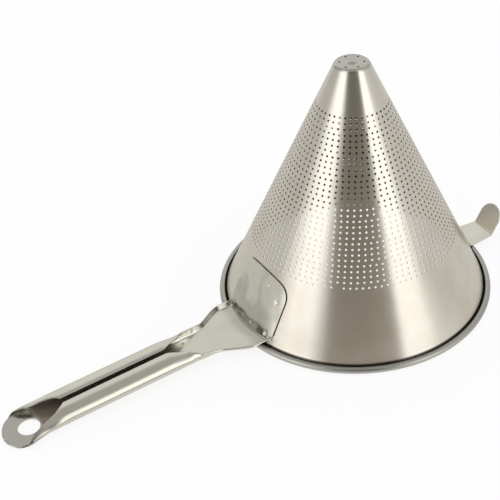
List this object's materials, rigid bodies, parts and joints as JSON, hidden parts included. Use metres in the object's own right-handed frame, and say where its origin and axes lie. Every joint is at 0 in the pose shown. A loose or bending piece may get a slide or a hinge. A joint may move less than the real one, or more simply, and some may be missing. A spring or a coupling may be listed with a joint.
{
  "type": "chinois strainer",
  "caption": "Conical perforated steel strainer with a rolled rim, a welded stamped handle with a hang hole, and a rest hook opposite, standing mouth down.",
  "frame": {"origin": "on the cone's axis, in the plane of the mouth, level with the surface that the rim stands on", "axes": "+Z from the mouth to the cone's tip, +X from the axis along the handle"},
  "size_m": [0.4056, 0.2, 0.1855],
  "materials": {
    "cone_steel": "brushed round the axis",
    "wire_steel": "drawn",
    "handle_steel": "polished"
  },
  "bodies": {
    "root": {"cone_body": "cone_steel", "rim_wire": "wire_steel", "handle": "handle_steel", "rest_hook": "handle_steel", "handle_welds": "handle_steel", "hook_welds": "handle_steel"}
  },
  "joints": []
}
